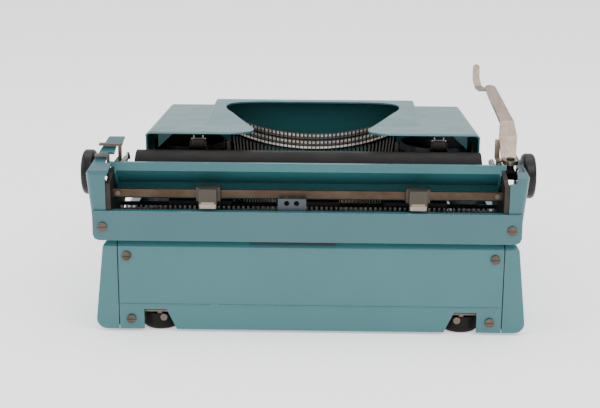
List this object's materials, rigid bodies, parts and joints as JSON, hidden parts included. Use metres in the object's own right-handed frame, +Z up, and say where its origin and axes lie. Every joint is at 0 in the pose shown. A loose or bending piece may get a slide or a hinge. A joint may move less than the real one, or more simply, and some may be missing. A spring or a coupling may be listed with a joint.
{
  "type": "portable typewriter",
  "caption": "Portable manual typewriter with a sliding carriage, lift-off ribbon cover, typebar basket, keyboard and return lever.",
  "frame": {"origin": "centre of the footprint, on the surface the feet stand on", "axes": "+Z up, +X to the typist's right along the platen, -Y towards the typist"},
  "size_m": [0.315, 0.3163, 0.1667],
  "materials": {
    "teal_paint": "semi-gloss enamel",
    "steel": "worn bare steel",
    "type_steel": "plated type",
    "black_rubber": "aged rubber",
    "black_plastic": "gloss",
    "grey_paint": "blue-grey enamel",
    "black_paint": "satin",
    "key_plastic": "satin",
    "chrome": "polished",
    "ribbon_fabric": "inked cotton",
    "brass": "dull"
  },
  "bodies": {
    "base": {"base_pan": "black_paint", "left_side_shell": "teal_paint", "right_side_shell": "teal_paint", "rear_panel": "teal_paint", "front_apron": "teal_paint", "rubber_feet": "black_rubber", "panel_screws": "steel", "left_frame_plate": "grey_paint", "right_frame_plate": "grey_paint", "carriage_rails": "steel", "segment": "black_paint", "pivot_wire": "steel", "typebars": "type_steel", "typebar_rest": "black_rubber", "type_guide": "steel", "left_spool_cup": "grey_paint", "right_spool_cup": "grey_paint", "ribbon_posts": "steel", "ribbon": "ribbon_fabric", "escapement_bracket": "grey_paint", "bell": "brass", "key_fulcrum_rod": "steel", "ribbon_vibrator": "steel"},
    "cover": {"ribbon_cover": "teal_paint"},
    "left_spool": {"left_spool": "black_paint"},
    "right_spool": {"right_spool": "black_paint"},
    "drum": {"mainspring_drum": "steel"},
    "escapement": {"escapement_wheel": "brass"},
    "middle_bar": {"middle_typebar": "type_steel"},
    "typing_key": {"typing_key": "key_plastic"},
    "number_keys": {"number_keys": "key_plastic"},
    "upper_keys": {"upper_keys": "key_plastic"},
    "home_keys": {"home_keys": "key_plastic"},
    "lower_keys": {"lower_keys": "key_plastic"},
    "space_bar": {"space_bar": "key_plastic"},
    "left_shift": {"left_shift_key": "key_plastic"},
    "right_shift": {"right_shift_key": "key_plastic"},
    "shift_lock": {"shift_lock": "key_plastic"},
    "backspace": {"backspace_key": "key_plastic"},
    "tab": {"tab_key": "key_plastic"},
    "margin_release": {"margin_release_key": "key_plastic"},
    "carriage": {"carriage_frame": "steel", "carriage_rear_strip": "teal_paint", "left_end_cover": "teal_paint", "right_end_cover": "teal_paint", "carriage_screws": "steel", "paper_table": "teal_paint", "margin_rail": "steel", "tab_rack": "steel", "left_paper_finger": "chrome", "right_paper_finger": "chrome"},
    "left_stop": {"left_margin_stop": "steel"},
    "right_stop": {"right_margin_stop": "steel"},
    "platen": {"platen": "black_rubber", "left_platen_knob": "black_plastic", "right_platen_knob": "black_plastic"},
    "feed": {"feed_rollers": "black_rubber"},
    "return_lever": {"return_lever": "steel"},
    "paper_release": {"paper_release_lever": "steel"},
    "carriage_release": {"carriage_release_lever": "steel"}
  },
  "joints": [
    {"name": "typing_key_press", "type": "hinge", "parent": "base", "child": "typing_key", "pos_m": [-0.00265, 0.0945, 0.033], "axis": [1, 0, 0], "range_deg": [0, 3.2], "stiffness_Nm_per_rad": 1.5, "springref_deg": -8.59},
    {"name": "number_keys_press", "type": "hinge", "parent": "base", "child": "number_keys", "pos_m": [-0.00265, 0.0945, 0.033], "axis": [1, 0, 0], "range_deg": [0, 3.2], "stiffness_Nm_per_rad": 6, "springref_deg": -8.59},
    {"name": "upper_keys_press", "type": "hinge", "parent": "base", "child": "upper_keys", "pos_m": [-0.00265, 0.0945, 0.033], "axis": [1, 0, 0], "range_deg": [0, 3.2], "stiffness_Nm_per_rad": 6, "springref_deg": -8.59},
    {"name": "home_keys_press", "type": "hinge", "parent": "base", "child": "home_keys", "pos_m": [-0.00265, 0.0945, 0.033], "axis": [1, 0, 0], "range_deg": [0, 3.2], "stiffness_Nm_per_rad": 6, "springref_deg": -8.59},
    {"name": "lower_keys_press", "type": "hinge", "parent": "base", "child": "lower_keys", "pos_m": [-0.00265, 0.0945, 0.033], "axis": [1, 0, 0], "range_deg": [0, 3.2], "stiffness_Nm_per_rad": 6, "springref_deg": -8.59},
    {"name": "space_bar_press", "type": "hinge", "parent": "base", "child": "space_bar", "pos_m": [-0.00265, 0.0945, 0.033], "axis": [1, 0, 0], "range_deg": [0, 3.2], "stiffness_Nm_per_rad": 3, "springref_deg": -8.59},
    {"name": "left_shift_press", "type": "hinge", "parent": "base", "child": "left_shift", "pos_m": [-0.00265, 0.0945, 0.033], "axis": [1, 0, 0], "range_deg": [0, 3.2], "stiffness_Nm_per_rad": 1.5, "springref_deg": -8.59},
    {"name": "right_shift_press", "type": "hinge", "parent": "base", "child": "right_shift", "pos_m": [-0.00265, 0.0945, 0.033], "axis": [1, 0, 0], "range_deg": [0, 3.2], "stiffness_Nm_per_rad": 1.5, "springref_deg": -8.59},
    {"name": "shift_lock_press", "type": "hinge", "parent": "base", "child": "shift_lock", "pos_m": [-0.00265, 0.0945, 0.033], "axis": [1, 0, 0], "range_deg": [0, 3.2], "stiffness_Nm_per_rad": 1.5, "springref_deg": -8.59},
    {"name": "backspace_press", "type": "hinge", "parent": "base", "child": "backspace", "pos_m": [-0.00265, 0.0945, 0.033], "axis": [1, 0, 0], "range_deg": [0, 3.2], "stiffness_Nm_per_rad": 1.5, "springref_deg": -8.59},
    {"name": "tab_press", "type": "hinge", "parent": "base", "child": "tab", "pos_m": [-0.00265, 0.0945, 0.033], "axis": [1, 0, 0], "range_deg": [0, 3.2], "stiffness_Nm_per_rad": 1.5, "springref_deg": -8.59},
    {"name": "margin_release_press", "type": "hinge", "parent": "base", "child": "margin_release", "pos_m": [-0.00265, 0.0945, 0.033], "axis": [1, 0, 0], "range_deg": [0, 3.2], "stiffness_Nm_per_rad": 1.5, "springref_deg": -8.59},
    {"name": "typebar_swing", "type": "hinge", "parent": "base", "child": "middle_bar", "pos_m": [-0.00265, 0.04923, 0.05588], "axis": [-1, 0, 0], "range_deg": [0, 90.5]},
    {"name": "cover_lift", "type": "slide", "parent": "base", "child": "cover", "axis": [0, 0, 1], "range_m": [0, 0.06]},
    {"name": "left_spool_spin", "type": "hinge", "parent": "base", "child": "left_spool", "pos_m": [-0.09315, 0.062, 0.1], "axis": [0, 0, 1], "continuous": true},
    {"name": "right_spool_spin", "type": "hinge", "parent": "base", "child": "right_spool", "pos_m": [0.08785, 0.062, 0.1], "axis": [0, 0, 1], "continuous": true},
    {"name": "carriage_travel", "type": "slide", "parent": "base", "child": "carriage", "axis": [-1, 0, 0], "range_m": [-0.1, 0.1]},
    {"name": "drum_turn", "type": "hinge", "parent": "base", "child": "drum", "pos_m": [-0.09765, 0.1165, 0.048], "axis": [0, 0, 1], "range_deg": [-305, 305]},
    {"name": "escapement_turn", "type": "hinge", "parent": "base", "child": "escapement", "pos_m": [0.00995, 0.1245, 0.052], "axis": [0, 1, 0], "range_deg": [-600, 600]},
    {"name": "platen_turn", "type": "hinge", "parent": "carriage", "child": "platen", "pos_m": [0, 0.1095, 0.102], "axis": [1, 0, 0], "continuous": true},
    {"name": "feed_turn", "type": "hinge", "parent": "carriage", "child": "feed", "pos_m": [0, 0.115, 0.0809], "axis": [1, 0, 0], "continuous": true},
    {"name": "return_lever_swing", "type": "hinge", "parent": "carriage", "child": "return_lever", "pos_m": [-0.1395, 0.1195, 0.114], "axis": [0, 0, 1], "range_deg": [0, 28], "stiffness_Nm_per_rad": 0.1, "springref_deg": -11.46},
    {"name": "left_stop_slide", "type": "slide", "parent": "carriage", "child": "left_stop", "axis": [1, 0, 0], "range_m": [-0.035, 0.055]},
    {"name": "right_stop_slide", "type": "slide", "parent": "carriage", "child": "right_stop", "axis": [1, 0, 0], "range_m": [-0.055, 0.035]},
    {"name": "paper_release_tilt", "type": "hinge", "parent": "carriage", "child": "paper_release", "pos_m": [0.13, 0.1205, 0.108], "axis": [-1, 0, 0], "range_deg": [0, 15]},
    {"name": "carriage_release_tilt", "type": "hinge", "parent": "carriage", "child": "carriage_release", "pos_m": [0.1356, 0.135, 0.106], "axis": [-1, 0, 0], "range_deg": [0, 12], "stiffness_Nm_per_rad": 0.1, "springref_deg": -11.46}
  ],
  "couplings": [
    {"joint": "typebar_swing", "follows": "typing_key_press", "ratio": 28.2},
    {"joint": "drum_turn", "follows": "carriage_travel", "rad_per_m": 52.632},
    {"joint": "escapement_turn", "follows": "carriage_travel", "rad_per_m": 103.07},
    {"joint": "feed_turn", "follows": "platen_turn", "ratio": -2.9091}
  ]
}
